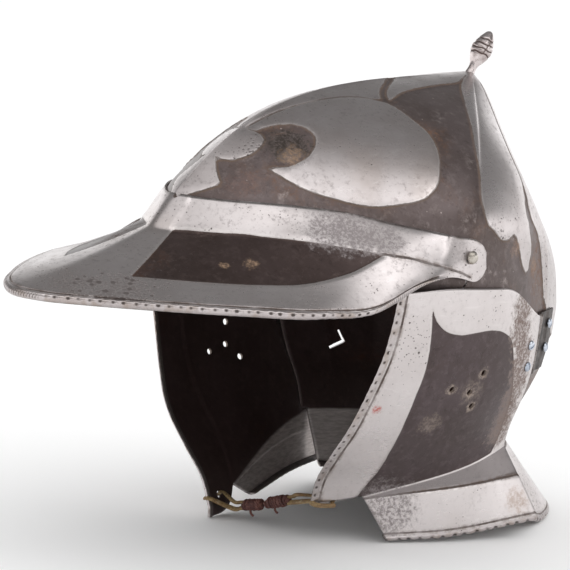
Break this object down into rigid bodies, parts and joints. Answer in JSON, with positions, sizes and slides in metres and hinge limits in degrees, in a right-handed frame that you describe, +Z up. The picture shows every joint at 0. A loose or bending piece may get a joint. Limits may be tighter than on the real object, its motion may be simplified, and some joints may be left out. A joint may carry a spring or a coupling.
{
  "type": "burgonet helmet",
  "caption": "Steel helmet with a bowl raised to a point at the back, a pivoted peak, hinged cheek pieces tied at the chin and flared neck flanges.",
  "frame": {"origin": "under the middle of the whole helmet, on the plane its neck flanges and chin rest on", "axes": "the wearer faces -Y, +X is the wearer's left and +Z is up"},
  "size_m": [0.2002, 0.3821, 0.2588],
  "materials": {
    "skull": "matt",
    "peak": "satin",
    "finial": "satin",
    "pivot_rivet_left": "satin",
    "cheek_left": "matt",
    "hinge_cheek_left": "matt",
    "hinge_skull_left": "matt",
    "hinge_pin_left": "matt",
    "hinge_screw_cheek_left_1": "polished",
    "hinge_screw_cheek_left_2": "polished",
    "hinge_screw_skull_left_1": "polished",
    "hinge_screw_skull_left_2": "polished",
    "lace_thong_left": "matt",
    "lace_knot_left": "matt",
    "pivot_rivet_right": "satin",
    "cheek_right": "matt",
    "hinge_cheek_right": "matt",
    "hinge_skull_right": "matt",
    "hinge_pin_right": "matt",
    "hinge_screw_cheek_right_1": "polished",
    "hinge_screw_cheek_right_2": "polished",
    "hinge_screw_skull_right_1": "polished",
    "hinge_screw_skull_right_2": "polished",
    "lace_thong_right": "matt",
    "lace_knot_right": "matt"
  },
  "bodies": {
    "helmet": {"skull": "skull", "finial": "finial", "pivot_rivet_left": "pivot_rivet_left", "cheek_left": "cheek_left", "hinge_cheek_left": "hinge_cheek_left", "hinge_skull_left": "hinge_skull_left", "hinge_pin_left": "hinge_pin_left", "hinge_screw_cheek_left_1": "hinge_screw_cheek_left_1", "hinge_screw_cheek_left_2": "hinge_screw_cheek_left_2", "hinge_screw_skull_left_1": "hinge_screw_skull_left_1", "hinge_screw_skull_left_2": "hinge_screw_skull_left_2", "lace_thong_left": "lace_thong_left", "lace_knot_left": "lace_knot_left", "pivot_rivet_right": "pivot_rivet_right", "cheek_right": "cheek_right", "hinge_cheek_right": "hinge_cheek_right", "hinge_skull_right": "hinge_skull_right", "hinge_pin_right": "hinge_pin_right", "hinge_screw_cheek_right_1": "hinge_screw_cheek_right_1", "hinge_screw_cheek_right_2": "hinge_screw_cheek_right_2", "hinge_screw_skull_right_1": "hinge_screw_skull_right_1", "hinge_screw_skull_right_2": "hinge_screw_skull_right_2", "lace_thong_right": "lace_thong_right", "lace_knot_right": "lace_knot_right"},
    "peak": {"peak": "peak"}
  },
  "joints": [
    {"name": "peak_pivot", "type": "hinge", "parent": "helmet", "child": "peak", "pos_m": [0, 0.0275, 0.156], "axis": [-1, 0, 0], "range_deg": [0, 35]}
  ]
}
